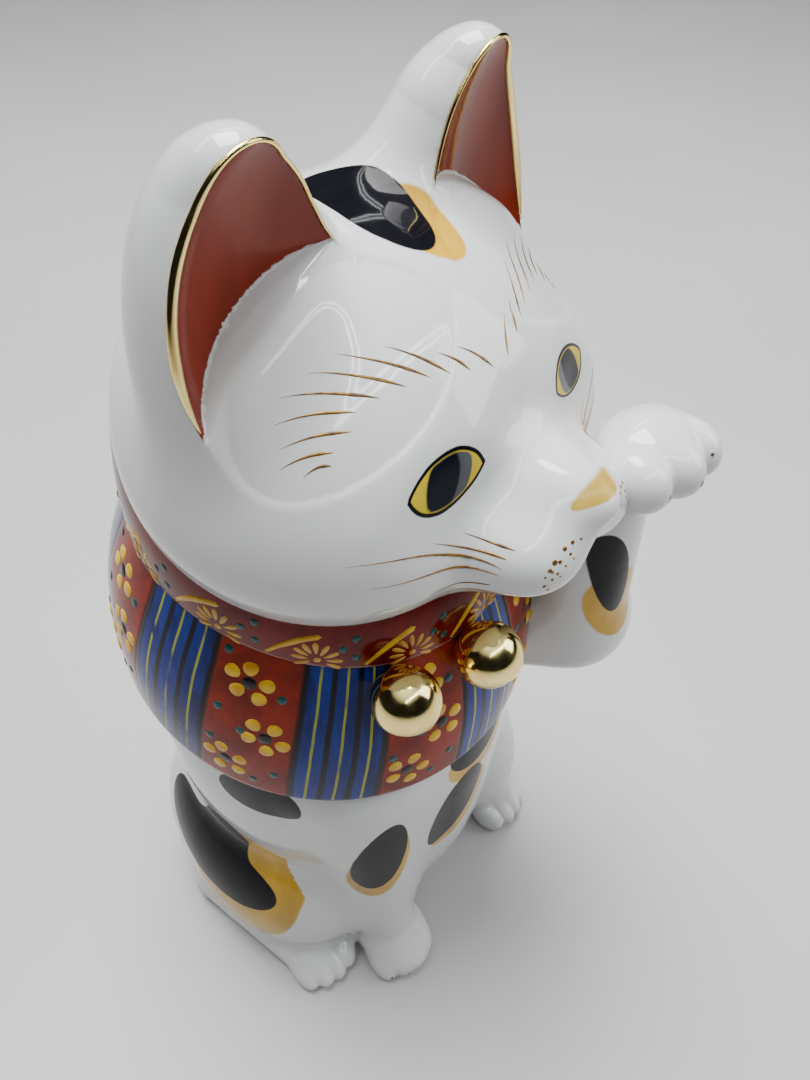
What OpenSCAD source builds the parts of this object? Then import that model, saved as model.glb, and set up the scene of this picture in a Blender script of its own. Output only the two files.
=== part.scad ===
// Beckoning cat: a seated, hollow porcelain figurine with its left foreleg raised.
// Frame: +Z up, the cat faces -Y, its left side is +X, origin on the table under the body.
// Each piece is a part that the potter casts or presses by itself and then joins with slip.

/* [Clay] */
// Thickness of the cast wall
wall = 5; // [4:0.5:6]
// Thickness of the slab that closes the body underneath
base_t = 6; // [5:0.5:8]
// Diameter of the vent hole in the base slab
vent_d = 14; // [8:1:18]

/* [Head] */
// Turn of the head to the cat's left, in degrees
head_turn = 11; // [0:1:14]
// Sideways place of the middle of the head
head_x = 9; // [4:1:10]
// Front to back place of the middle of the head
head_y = -21; // [-23:1:-18]
// Height of the middle of the skull
skull_z = 266; // [264:1:268]

/* [Bib] */
// Height of the bib's hem at the chest
hem_front = 150; // [147:1:152]
// Height of the bib's hem behind
hem_back = 190; // [184:1:192]
// Height of the collar's ridge at the chest
ridge_front = 208; // [206:1:209]
// Height of the collar's ridge behind
ridge_back = 238; // [236:1:240]
// Radius of the bib at its hem
hem_r = 75.5; // [75:0.5:77]
// Radius of the bib at its top, at the chest
ridge_r = 59.5; // [59:0.5:60.5]
// Radius of a bell
bell_r = 10.5; // [8:0.5:11]

/* [Hidden] */
seam = 0.1;          // slip line left between two pieces
around = 48;         // points round the body, bib and collar
small = 0.001;
axis = [0.5, -10, 0];  // where the line that the rings go round crosses the height of the hem at the chest
lean = [0.045, -0.08, 0];  // how far that line moves to the cat's left and forwards for each mm it rises
vent_y = 16;
neck_r = 40;
below_head = 170;    // a height lower than any of the head
bib_swell = 4;
bib_t = 5;           // thickness of the bib over the body
// These pairs are for the chest and for the back of the cat
bib_top_rs = [ridge_r, ridge_r + 5.7];
collar_low_rs = [ridge_r + 2.5, ridge_r + 5.5];
collar_top_rs = [ridge_r - 6.5, ridge_r + 3.7];
collar_swell = [2.5, 1.2];
collar_tall = [24, 39];
nape = 4.5;          // how much the rings are flattened at the nape
white = [0.95, 0.95, 0.94];
red = [0.62, 0.10, 0.05];
blue = [0.12, 0.2, 0.55];
gold = [0.85, 0.62, 0.22];
bell_place = [3, -20.5];     // how far round the bib the left and right bells sit, in degrees
elbow = [67, -73, 165];
wrist = [60, -82, 240];
paw = [60, -95, 259];

// ---- distance to simple forms, and how two of them flow together ----
function squared(r) = [r.x * r.x, r.y * r.y, r.z * r.z];
function over(q, r) = [q.x / r.x, q.y / r.y, q.z / r.z];
function egg(p, c, r) = let (q = p - c, a = norm(over(q, r)), b = norm(over(q, squared(r))))
    a * (a - 1) / max(b, small);
function rod(p, a, b, ra, rb) = let (ab = b - a, t = max(0, min(1, (p - a) * ab / (ab * ab))))
    norm(p - a - t * ab) - ra - (rb - ra) * t;
function join(a, b, k) = let (h = max(k - abs(a - b), 0) / k) min(a, b) - h * h * k / 4;
function cut(a, b, k) = -join(-a, b, k);
function mirrored(p) = [abs(p.x), p.y, p.z];
function turned(p, a) = [p.x * cos(a) - p.y * sin(a), p.x * sin(a) + p.y * cos(a), p.z];
function leaned(p, a) = [p.x * cos(a) + p.z * sin(a), p.y, p.z * cos(a) - p.x * sin(a)];

// ---- the head in its own frame: middle of the skull at the origin, nose along -Y ----
function in_head(p) = turned(p - [head_x, head_y, skull_z], -head_turn);
function from_head(q) = turned(q, head_turn) + [head_x, head_y, skull_z];
function skull(q) = let (m = mirrored(q),
    crown = egg(q, [0, 2, 0], [66, 60, 55]),
    cheeks = join(crown, egg(m, [26, -15, -8], [42, 45, 31]), 22),
    chin = join(cheeks, egg(q, [0, -52, -20], [22, 20, 14]), 14),
    face = cut(chin, egg(m, [34, -73, 9], [17, 13, 14]), 14),
    pads = join(face, egg(m, [12, -66, -12], [16, 18, 13]), 9))
    join(pads, egg(q, [0, -66, 0], [10, 20, 9]), 12);
function ear(m) = let (
    outer = egg(leaned(m - [47, -5, 36], 6), [0, 0, 0], [19, 20, 44]),
    whole = join(outer, rod(m, [30, -2, 30], [41, -13, 77], 23, 6.5), 12))
    cut(whole, egg(turned(m - [50, -60, 58], -15), [0, 0, 0], [34, 44, 52]), 3);
function head(p) = skull(in_head(p));

// ---- the body ----
function torso(p) = let (m = mirrored(p - [3, 0, 0]),
    trunk = join(egg(p, [2, -10, 118], [71, 72, 125]), egg(p, [3, -24, 70], [50, 54, 80]), 10),
    rump = join(trunk, egg(p, [0, 12, 38], [54, 48, 60]), 12),
    seat = join(rump, egg(m, [47, -8, 38], [37, 60, 55]), 6))
    join(seat, rod(p, [2, -10, 150], [7, -18, 240], neck_r + 6, neck_r), 10);

// ---- finding the surface along a line ----
function bisect(f, o, d, lo, hi, n = 14) = n == 0 ? (lo + hi) / 2 : let (mid = (lo + hi) / 2)
    f(o + mid * d) < 0 ? bisect(f, o, d, mid, hi, n - 1) : bisect(f, o, d, lo, mid, n - 1);
function heading(a) = [sin(a), -cos(a), 0];
function centre_at(z) = axis + [0, 0, z] + (z - hem_front) * lean;
function round_r(f, a, z) = bisect(f, centre_at(z), heading(a), 1, 130);
function at(a, r, z) = centre_at(z) + r * heading(a);

// ---- rings of points into solids: rings run upwards, points run from the chest to the cat's left ----
function side(n, rows, wrap) = [for (i = [0 : rows - (wrap ? 1 : 2)]) for (j = [0 : n - 1])
    let (a = i * n, b = (i + 1) % rows * n, k = (j + 1) % n) each [[a + j, b + j, b + k], [a + j, b + k, a + k]]];
module tube_solid(rings) {
    n = len(rings[0]);
    polyhedron([for (r = rings) each r], side(n, len(rings), true), convexity = 6);
}
module pod(low, rings, high) {
    n = len(rings[0]);
    last = len(rings) * n;
    lid = [for (j = [0 : n - 1]) [last - n + j, last + 1, last - n + (j + 1) % n]];
    floor = [for (j = [0 : n - 1]) [(j + 1) % n, last, j]];
    polyhedron([for (r = rings) each r, low, high], concat(side(n, len(rings), false), lid, floor), convexity = 6);
}
// A closed surface round the point o, found along lines in every direction
module blob(f, o, n, rows, reach = 90) {
    ray = function(a, e) o + bisect(f, o, [cos(e) * sin(a), -cos(e) * cos(a), sin(e)], 0.5, reach)
        * [cos(e) * sin(a), -cos(e) * cos(a), sin(e)];
    rings = [for (i = [1 : rows - 1]) [for (j = [0 : n - 1]) ray(360 * j / n, 180 * i / rows - 90)]];
    pod(ray(0, -90), rings, ray(0, 90));
}

// ---- heights on the bib and collar ----
function sway(a) = (1 - cos(a)) / 2;
function hem_z(a) = hem_front + (hem_back - hem_front) * sway(a);
function mix(a, b, t) = a + (b - a) * t;
function backward(pair, a) = mix(pair[0], pair[1], 1 - pow(1 - sway(a), 2));
function ridge_z(a) = backward([ridge_front, ridge_back], a);
function behind(a) = nape * pow(max(0, -cos(a)), 2);
function bib_r(a, t) = mix(hem_r, backward(bib_top_rs, a) - behind(a), t) + bib_swell * sin(180 * t);
function collar_r(a, t) = mix(backward(collar_low_rs, a), backward(collar_top_rs, a), t) - behind(a)
    + backward(collar_swell, a) * sin(180 * t);
function collar_z(a, t) = ridge_z(a) + seam + backward(collar_tall, a) * t;
function under_head(a, r) = below_head
    + bisect(function(p) seam - head(p), at(a, r, below_head), [0, 0, 1] + lean, 0, 80);
function bib_skin(p) = let (q = p - centre_at(p.z), a = atan2(q.x, -q.y),
    t = (p.z - hem_z(a)) / (ridge_z(a) - hem_z(a)))
    max(norm([q.x, q.y]) - bib_r(a, max(0, min(1, t))), hem_z(a) - p.z);

// The body is full under the bib, so that the bib is one even layer on it
function yoke_r(a, z) = let (t = (z - hem_z(a)) / (ridge_z(a) - hem_z(a)), slope = t < 0 ? 40 : -34)
    bib_r(a, max(0, min(1, t))) - bib_t + slope * (t < 0 ? t : max(0, t - 1));
function body_r(a, z) = max(round_r(function(p) torso(p), a, z), yoke_r(a, z));
// What a ring lies on: the body up to where it meets the head, and the head above that
function head_r(a, z) = round_r(function(p) head(p), a, z);
function inside_r(a, z) = max(z < under_head(a, neck_r) ? body_r(a, z) : neck_r, head_r(a, z)) + seam;

module body_shell() {
    steps = 26;
    row = function(i, r, inset) [for (j = [0 : around - 1]) let (a = 360 * j / around,
        z = mix(base_t, under_head(a, r), i / steps)) at(a, (i == steps ? r : body_r(a, z) - inset), z)];
    outer = [for (i = [0 : steps]) row(i, neck_r, 0)];
    inner = [for (i = [steps : -2 : 0]) row(i, neck_r - wall, wall)];
    color(white) tube_solid(concat(outer, inner));
}

module base_slab() {
    rim = [for (j = [0 : around - 1]) let (a = 360 * j / around,
        p = at(a, round_r(function(p) torso(p), a, base_t) - 1.5, 0)) [p.x, p.y]];
    color(white) difference() {
        linear_extrude(base_t) polygon(rim);
        translate([0, vent_y, -1]) cylinder(h = base_t + 2, d = vent_d, $fn = 48);
    }
}

module head_shell() {
    n = 72;
    steps = 38;
    open = 36;           // half angle of the neck opening, seen from the middle of the skull
    turn = function(j) 360 * j / n - 30 * sin(360 * j / n);   // closer together round the face
    way = function(a, e) [cos(e) * sin(a), -cos(e) * cos(a), sin(e)];
    r = function(a, e) bisect(function(q) skull(q), [0, 0, 0], way(a, e), 10, 110);
    rise = function(i) mix(open - 90, 90, i / steps);
    outer = [for (i = [0 : steps - 1]) [for (j = [0 : n - 1]) let (a = turn(j))
        from_head(r(a, rise(i)) * way(a, rise(i)))]];
    inner = [for (i = [steps - 2 : -2 : 0]) [for (j = [0 : n - 1]) let (a = turn(j))
        from_head((r(a, rise(i)) - wall) * way(a, rise(i)))]];
    rings = concat(inner, outer);
    last = len(rings) * n;
    top = from_head([0, 0, r(0, 90)]);
    under = from_head([0, 0, r(0, 90) - wall]);
    lid = [for (j = [0 : n - 1]) [last - n + j, last, last - n + (j + 1) % n]];
    vault = [for (j = [0 : n - 1]) [(j + 1) % n, last + 1, j]];
    color(white) polyhedron([for (k = rings) each k, top, under], concat(side(n, len(rings), false), lid, vault));
}

// An ear is a cupped cone. Its lowest ring is where its skin meets the skull, found all the way round.
module ear_piece(hand) {
    n = 32;
    steps = 14;
    stem = function(z) let (t = (z - 40) / 40) [mix(46, 42, t), mix(-2, -12, t), z];
    skin = function(a, z) stem(z) + bisect(function(q) ear(q), stem(z), heading(a), 0.1, 60) * heading(a);
    tip = 60 + bisect(function(q) ear(q), stem(60), [0, 0, 1], 0, 40);
    foot = function(a) 60 - bisect(function(q) seam - skull(skin(a, q.z)), [0, 0, 60], [0, 0, -1], 0, 60);
    seat = function(p) [p.x, p.y, 90 - bisect(function(q) seam - skull(q), [p.x, p.y, 90], [0, 0, -1], 0, 90)];
    feet = [for (j = [0 : n - 1]) foot(360 * j / n)];
    walls = [for (i = [0 : steps - 1]) [for (j = [0 : n - 1])
        skin(360 * j / n, mix(feet[j], tip, 1 - pow(1 - i / steps, 1.4)))]];
    under = [for (s = [0.35, 0.7]) [for (p = walls[0]) seat(mix(stem(30), p, s))]];
    place = function(q) from_head([hand * q.x, q.y, q.z]);
    rings = [for (r = concat(under, walls)) [for (j = [0 : n - 1]) place(r[(hand > 0 ? j : n - j) % n])]];
    color(white) pod(place(seat(stem(30))), rings, place([stem(tip).x, stem(tip).y, tip]));
}
module left_ear() ear_piece(1);
module right_ear() ear_piece(-1);

// The raised foreleg runs from the shoulder out to the elbow and up to a paw bent forwards
function bend(k, i, t) = let (a = k[i - 1], b = k[i], c = k[i + 1], d = k[i + 2])
    (2 * b + (c - a) * t + (2 * a - 5 * b + 4 * c - d) * t * t + (3 * b - 3 * c + d - a) * t * t * t) / 2;
module raised_foreleg() {
    f = function(p) let (
        limb = join(rod(p, [46, -48, 158], elbow, 22, 19), rod(p, elbow, wrist, 19, 12), 10),
        whole = join(limb, egg(p, paw, [18, 18, 12]), 8))
        max(whole, seam - torso(p), seam - bib_skin(p));
    route = [[48, -50, 162], [60, -62, 163], elbow + [0, 0, 8], mix(elbow, wrist, 0.5), wrist, paw,
             paw - [0, 14, 2], paw - [0, 20, 4]];
    steps = 6;
    line = [for (i = [1 : len(route) - 3]) for (j = [0 : steps - 1]) bend(route, i, j / steps)];
    last = len(line) - 1;
    rings = [for (i = [0 : last]) let (t = line[min(i + 1, last)] - line[max(i - 1, 0)], w = t / norm(t),
        u0 = cross([1, 0, 0], w), u = u0 / norm(u0), v = cross(w, u))
        [for (j = [0 : 21]) let (d = cos(360 * j / 22) * u + sin(360 * j / 22) * v)
            line[i] + bisect(f, line[i], d, 0.2, 40) * d]];
    start = (line[1] - line[0]) / norm(line[1] - line[0]);
    finish = (line[last] - line[last - 1]) / norm(line[last] - line[last - 1]);
    color(white) pod(line[0] - bisect(f, line[0], -start, 0, 30) * start, rings,
        line[last] + bisect(f, line[last], finish, 0, 30) * finish);
}

// The standing foreleg is pressed against the chest, so behind it follows the chest's own skin
module standing_foreleg() {
    n = 28;
    steps = 26;
    top = hem_front - 5;
    shoulder = [-24, -58, 134];
    ankle = [-26, -70, 16];
    leg = function(p) join(rod(p, shoulder, ankle, 24, 13), egg(p, [-26, -78, 9], [15, 17, 11]), 8);
    chest_y = function(z) -bisect(function(p) torso(p), [ankle.x, 0, z], [0, -1, 0], 1, 130);
    middle = function(z) [ankle.x, min(chest_y(z) - 3.5, mix(ankle.y, shoulder.y, z / shoulder.z) + 6), z];
    f = function(p) max(leg(p), seam - torso(p));
    rings = [for (i = [0 : steps]) let (z = top * pow(i / steps, 1.3), c = middle(z))
        [for (j = [0 : n - 1]) c + bisect(f, c, heading(360 * j / n), 0.1, 50) * heading(360 * j / n)]];
    color(white) pod(middle(0), rings, middle(top));
}

module hind_paw(hand) {
    f = function(p) max(egg(mirrored(p), [58, -56, 8], [14, 20, 11]), seam - torso(p), -p.z);
    color(white) blob(f, [hand * 58, -70, 6], 24, 14);
}
module left_hind_paw() hind_paw(1);
module right_hind_paw() hind_paw(-1);

// A short bobbed tail, round and pressed against the back
module tail() {
    f = function(p) max(join(egg(p, [4, 58, 20], [16, 18, 19]), egg(p, [-2, 62, 33], [11, 11, 14]), 8),
        seam - torso(p), -p.z);
    color(white) blob(f, [4, 66, 20], 24, 14);
}

// ---- the dressed part: a padded bib, the rolled collar over it, and two bells ----
module bib() {
    steps = 9;
    outer = [for (i = [0 : steps]) [for (j = [0 : around - 1]) let (a = 360 * j / around)
        at(a, bib_r(a, i / steps), mix(hem_z(a), ridge_z(a), i / steps))]];
    inner = [for (i = [steps : -3 : 0]) [for (j = [0 : around - 1]) let (a = 360 * j / around,
        z = mix(hem_z(a), ridge_z(a), i / steps))
        at(a, inside_r(a, z), z)]];
    color(blue) tube_solid(concat(outer, inner));
}

// The collar ends where it runs into the chin, or at its own height on the back of the head
module collar() {
    steps = 8;
    edge = 0.8;          // thickness at the top edge
    end_t = function(a) bisect(function(t) head_r(a, collar_z(a, t)) + edge - collar_r(a, t), 0, 1, 0, 1);
    ends = [for (j = [0 : around - 1]) end_t(360 * j / around)];
    outer = [for (i = [0 : steps]) [for (j = [0 : around - 1]) let (a = 360 * j / around, t = ends[j] * i / steps)
        at(a, collar_r(a, t), collar_z(a, t))]];
    inner = [for (i = [steps : -1 : 0]) [for (j = [0 : around - 1]) let (a = 360 * j / around,
        z = collar_z(a, ends[j] * i / steps))
        at(a, inside_r(a, z), z)]];
    color(red) tube_solid(concat(outer, inner));
}

// A round bell with a raised band, a sound slot below it and a flat where it is stuck to the bib
module bell(turn) {
    flat = 0.93 * bell_r;
    z = ridge_front - 0.4 * bell_r;
    out = bib_r(turn, (z - hem_front) / (ridge_front - hem_front)) + flat + seam;
    color(gold) translate(at(turn, out, z)) rotate([0, 0, turn])
        difference() {
            rotate_extrude($fn = 48) intersection() {
                union() {
                    circle(r = bell_r, $fn = 48);
                    translate([bell_r - 0.2, 0]) circle(r = 1, $fn = 16);
                }
                translate([0, -bell_r]) square([bell_r + 1, 2 * bell_r]);
            }
            translate([-2 * bell_r, flat, -2 * bell_r]) cube([4 * bell_r, bell_r, 4 * bell_r]);
            translate([-bell_r / 2, -bell_r - 1, -bell_r / 2]) cube([bell_r, 2.5, bell_r / 8]);
        }
}
module left_bell() bell(bell_place[0]);
module right_bell() bell(bell_place[1]);

body_shell();
base_slab();
head_shell();
left_ear();
right_ear();
raised_foreleg();
standing_foreleg();
left_hind_paw();
right_hind_paw();
tail();
bib();
collar();
left_bell();
right_bell();
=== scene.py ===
from math import cos, pi, radians, sin

import bpy
import numpy as np
from mathutils import Matrix, Vector


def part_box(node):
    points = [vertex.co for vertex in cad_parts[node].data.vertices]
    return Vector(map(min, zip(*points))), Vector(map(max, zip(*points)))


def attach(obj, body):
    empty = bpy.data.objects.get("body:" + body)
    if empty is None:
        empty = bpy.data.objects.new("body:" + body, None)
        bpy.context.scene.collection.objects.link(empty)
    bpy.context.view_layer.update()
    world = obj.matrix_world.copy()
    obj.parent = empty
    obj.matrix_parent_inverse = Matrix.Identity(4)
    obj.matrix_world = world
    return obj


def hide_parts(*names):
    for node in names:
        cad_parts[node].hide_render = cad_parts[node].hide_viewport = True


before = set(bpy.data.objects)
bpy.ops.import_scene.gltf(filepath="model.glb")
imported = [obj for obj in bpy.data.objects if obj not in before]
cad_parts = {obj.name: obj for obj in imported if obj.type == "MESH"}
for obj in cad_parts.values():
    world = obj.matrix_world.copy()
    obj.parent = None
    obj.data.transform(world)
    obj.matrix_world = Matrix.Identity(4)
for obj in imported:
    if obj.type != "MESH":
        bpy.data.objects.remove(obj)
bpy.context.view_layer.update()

MM = 0.001


# ---------------------------------------------------------------- places taken from the frame
def corners(node):
    return [np.array(corner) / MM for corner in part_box(node)]


def middle(node):
    low, high = corners(node)
    return (low + high) / 2


BIB_LOW, BIB_HIGH = corners("bib")
LEAN = np.array([0.045, -0.08])                 # how far the middle of the rings moves for each mm it rises
HEM_R = (BIB_HIGH[0] - BIB_LOW[0]) / 2
HEM_FRONT = BIB_LOW[2]
HEM_RISE = 40.0                                 # how much higher the hem is behind than in front
# Where the middle line of the rings crosses the height of the hem at the chest
AXIS = np.array([middle("bib")[0] - LEAN[0] * HEM_RISE / 2, BIB_LOW[1] + HEM_R])
RIDGE_FRONT = corners("collar")[0][2]
RIDGE_RISE = BIB_HIGH[2] - RIDGE_FRONT
SKULL_R = (66, 60, 55)
HEAD_TURN = 11.0                                # the head looks to the cat's left
HEAD = np.array([9.0, -21.0, corners("head_shell")[1][2] - SKULL_R[2]])
NAPE = 4.5                                      # how much the rings are flattened at the nape
GROUND = corners("base_slab")[0][2]
BELL_R = 10.5
BELL_TILT = 14.0                                # the bells lean back with the bib
LEDGE = 5.0                                     # the ears' hollows stop this far above the skull
ELBOW = [68, -73, 164]
WRIST = [61, -82, 240]
FAR = 60.0                                      # added to a distance where its shape isn't wanted
UPWARD = np.array([0, 0, 1.0])


# ---------------------------------------------------------------- distances to simple forms
def egg(p, centre, radii):
    q = p - np.array(centre, float)
    r = np.array(radii, float)
    near = np.linalg.norm(q / r, axis=1)
    steep = np.linalg.norm(q / (r * r), axis=1)
    return near * (near - 1) / np.maximum(steep, 1e-6)


def rod(p, start, end, start_r, end_r):
    start, end = np.array(start, float), np.array(end, float)
    along = end - start
    t = np.clip(((p - start) @ along) / (along @ along), 0, 1)
    return np.linalg.norm(p - start - t[:, None] * along, axis=1) - start_r - (end_r - start_r) * t


def join(a, b, k):
    h = np.maximum(k - np.abs(a - b), 0) / k
    return np.minimum(a, b) - h * h * k / 4


def carve(a, b, k):
    return -join(-a, b, k)


def turned(p, degrees):
    c, s = cos(radians(degrees)), sin(radians(degrees))
    return np.stack([p[:, 0] * c - p[:, 1] * s, p[:, 0] * s + p[:, 1] * c, p[:, 2]], 1)


def leaned(p, degrees):
    c, s = cos(radians(degrees)), sin(radians(degrees))
    return np.stack([p[:, 0] * c + p[:, 2] * s, p[:, 1], p[:, 2] * c - p[:, 0] * s], 1)


def mirrored(p, soft=0.0):
    m = p.copy()
    m[:, 0] = np.sqrt(p[:, 0] ** 2 + soft * soft)
    return m


def in_head(p):
    return turned(p - HEAD, -HEAD_TURN)


def from_head(q):
    return turned(np.atleast_2d(np.array(q, float)), HEAD_TURN) + HEAD


# ---------------------------------------------------------------- the cat's forms
def toes(p, tip, turn, spread, radius=9):
    """Four toes side by side, with the outer ones a little further back."""
    q = turned(p - np.array(tip, float), -turn)
    whole = None
    for i in (-1.5, -0.5, 0.5, 1.5):
        one = egg(q, (i * spread, i * i * 1.2, -abs(i) * 0.3), (radius * 0.6, radius, radius * 0.8))
        whole = one if whole is None else join(whole, one, 0.8)
    return whole


def skull(q):
    m = mirrored(q)
    d = egg(q, (0, 2, 0), SKULL_R)
    d = join(d, egg(m, (26, -15, -8), (42, 45, 31)), 22)                 # cheeks
    d = join(d, egg(q, (0, -52, -20), (22, 20, 14)), 14)                 # chin
    d = carve(d, egg(m, (34, -73, 9), (17, 13, 14)), 14)                 # eye hollows
    d = join(d, egg(mirrored(q, 2.0), (12, -66, -12), (16, 18, 13)), 9)  # whisker pads
    return join(d, egg(q, (0, -66, 0), (10, 20, 9)), 12)                 # bridge of the nose


def ear(m):
    outer = egg(leaned(m - [47, -5, 36], 6), (0, 0, 0), (19, 20, 44))
    return join(outer, rod(m, [29, -3, 30], [40, -13, 76], 24, 7.8), 12)


def ear_scoop(m):
    """The hollow of an ear. It faces forwards and a little outwards."""
    return egg(turned(m - [38.5, -30, 47.5], -13), (0, 0, 0), (33.5, 21, 42))


def uncut_head(q):
    m = mirrored(q)
    flank = rod(m, [20, 4, 38], [33, -5, 66], 16, 7)
    return join(join(skull(q), ear(m), 9), flank, 14)


def head(p):
    q = in_head(p)
    bare = skull(q)
    scoop = ear_scoop(mirrored(q))
    ledge = np.clip((bare - LEDGE + scoop) / -6, 0, 1)        # 0 in the hollow, 1 on the ledge below it
    return carve(uncut_head(q), np.maximum(scoop, LEDGE - bare), 0.8 + 8 * ledge)


def torso(p):
    d = join(egg(p, [2, -10, 118], [71, 72, 125]), egg(p, [3, -24, 70], [50, 54, 80]), 10)
    d = join(d, egg(p, [0, 12, 38], [54, 48, 60]), 12)                   # rump
    return join(d, egg(mirrored(p - [3, 0, 0]), [47, -8, 38], [37, 60, 55]), 6)   # haunches


def hind_foot(m):
    return join(rod(m, [74, 0, 10], [59, -58, 9], 9, 11), toes(m, (57, -66, 6), 10, 6), 4)


def foreleg(p):
    d = join(rod(p, [-24, -58, 134], [-26, -70, 16], 24, 13), egg(p, [-26, -78, 9], [15, 17, 11]), 8)
    return join(d, toes(p, (-28, -85, 6), -5, 6.4), 3)


def arm(p):
    d = join(rod(p, [46, -48, 158], ELBOW, 22, 20), rod(p, ELBOW, WRIST, 20, 12), 10)
    d = join(d, egg(p, [61, -91, 256], [17, 15, 11.5]), 6)               # palm
    inner, middle_toe = egg(p, (47.5, -96, 256.5), (8.2, 11, 9.3)), egg(p, (60, -98, 256), (8.2, 11, 9.3))
    outer = egg(p, (70, -97.5, 256.5), (7.2, 10, 9))
    return join(d, join(join(middle_toe, inner, 0.6), outer, 0.6), 1.5)


def tail(p):
    return join(egg(p, [4, 58, 20], [16, 18, 19]), egg(p, [-2, 62, 33], [11, 11, 14]), 8)


def body(p):
    d = join(torso(p), foreleg(p), 12)
    d = join(d, hind_foot(mirrored(p)), 5)
    d = join(d, tail(p), 4)
    return np.maximum(d, GROUND + 0.2 - p[:, 2])


# ---------------------------------------------------------------- heights round the bib and collar
def axis_at(z):
    rise = (z - HEM_FRONT)[..., None] * LEAN
    return AXIS + rise


def round_axis(p):
    q = p[:, :2] - axis_at(p[:, 2])
    return np.arctan2(q[:, 0], -q[:, 1]), np.hypot(q[:, 0], q[:, 1])


def sway(a):
    """0 at the chest and 1 at the back."""
    return (1 - np.cos(a)) / 2


def hem_z(a):
    return HEM_FRONT + HEM_RISE * sway(a)


def backward(a, front, behind):
    """From a value at the chest to one at the back, nearly all of it reached at the sides."""
    return front + (behind - front) * (1 - (1 - sway(a)) ** 2)


def ridge_z(a):
    return backward(a, RIDGE_FRONT, RIDGE_FRONT + RIDGE_RISE)


def nape(a):
    return NAPE * np.maximum(0, -np.cos(a)) ** 2


def bib_r(a, t):
    """Radius of the bib at turn a, from its hem at t = 0 to the ridge at t = 1."""
    top = backward(a, HEM_R - 16, HEM_R - 10.3) - nape(a)
    return HEM_R + (top - HEM_R) * t + 4 * np.sin(pi * t)


STEEPNESS = 0.95             # a radius counts as this much distance, since the rings slope


def bib_field(p):
    a, r = round_axis(p)
    t = np.clip((p[:, 2] - hem_z(a)) / (ridge_z(a) - hem_z(a)), 0, 1)
    return (r - bib_r(a, t)) * STEEPNESS


def collar_r(a, t):
    low = backward(a, HEM_R - 13.5, HEM_R - 10.5)
    top = backward(a, HEM_R - 22.5, HEM_R - 12.3)
    return low + (top - low) * t + backward(a, 2.5, 1.2) * np.sin(pi * t) - nape(a)


def collar_tall(a):
    return backward(a, 24, 39)


def collar_field(p):
    a, r = round_axis(p)
    t = np.clip((p[:, 2] - ridge_z(a)) / collar_tall(a), 0, 1)
    return (r - collar_r(a, t)) * STEEPNESS


# ---------------------------------------------------------------- from a distance to a mesh
def slope_of(field, p, reach=0.2):
    return np.stack([field(p + d) - field(p - d) for d in np.eye(3) * reach], 1) / (2 * reach)


def settle(field, p, lift=0.0, steps=3):
    """Moves points onto the surface, or to a height above it."""
    for _ in range(steps):
        g = slope_of(field, p)
        p = p - (np.clip(field(p) - lift, -2, 2) / np.maximum((g * g).sum(1), 0.2))[:, None] * g
    return p


def normals_of(field, p):
    g = slope_of(field, p)
    return g / np.linalg.norm(g, axis=1, keepdims=True)


def surface_net(value, low, step):
    """Points and quads of the surface where a grid of distances changes sign."""
    inside = value < 0
    nx, ny, nz = value.shape
    count = np.zeros((nx - 1, ny - 1, nz - 1), np.int8)
    offsets = [np.array((i, j, k)) for i in (0, 1) for j in (0, 1) for k in (0, 1)]
    for o in offsets:
        count += inside[o[0]:nx - 1 + o[0], o[1]:ny - 1 + o[1], o[2]:nz - 1 + o[2]]
    mixed = (count > 0) & (count < 8)
    cells = np.argwhere(mixed)
    number = -np.ones(mixed.shape, np.int32)
    number[mixed] = np.arange(len(cells))
    total, crossings = np.zeros((len(cells), 3)), np.zeros(len(cells))
    for a in offsets:
        for axis in range(3):
            if a[axis]:
                continue
            b = a.copy()
            b[axis] = 1
            va, vb = value[tuple((cells + a).T)], value[tuple((cells + b).T)]
            hit = (va < 0) != (vb < 0)
            t = np.where(hit, va / np.where(hit, va - vb, 1), 0)
            total[hit] += (a + (b - a) * t[:, None])[hit]
            crossings[hit] += 1
    points = low + (cells + total / crossings[:, None]) * step
    quads = []
    for axis in range(3):
        u, v = np.eye(3, dtype=int)[(axis + 1) % 3], np.eye(3, dtype=int)[(axis + 2) % 3]
        here, there = [slice(None)] * 3, [slice(None)] * 3
        here[axis], there[axis] = slice(0, -1), slice(1, None)
        edge = np.argwhere(inside[tuple(here)] != inside[tuple(there)])
        around = [edge - u - v, edge - v, edge, edge - u]
        ring = np.stack([number[tuple(c.T)] for c in around], 1)
        outward = inside[tuple(edge.T)]
        quads.append(np.where(outward[:, None], ring, ring[:, ::-1]))
    return points, np.concatenate(quads)


def skin(field, low, high, step):
    """The surface of a field between two corners. Only blocks of the grid near the surface are worked out."""
    block = 8
    low, high = np.array(low, float), np.array(high, float)
    shape = np.ceil((high - low) / (step * block)).astype(int)
    blocks = np.stack(np.meshgrid(*[np.arange(n) for n in shape], indexing="ij"), -1).reshape(-1, 3)
    rough = field(low + (blocks + 0.5) * block * step)
    value = rough.reshape(shape)
    for axis in range(3):
        value = np.repeat(value, block, axis)
    inner = np.stack(np.meshgrid(*[np.arange(block)] * 3, indexing="ij"), -1).reshape(-1, 3)
    kept = blocks[np.abs(rough) < block * step * 1.2]
    for i in range(0, len(kept), 2000):
        cells = (kept[i:i + 2000, None] * block + inner[None]).reshape(-1, 3)
        value[tuple(cells.T)] = field(low + cells * step)
    points, quads = surface_net(value, low, step)
    return settle(field, points, steps=2), quads


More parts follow.
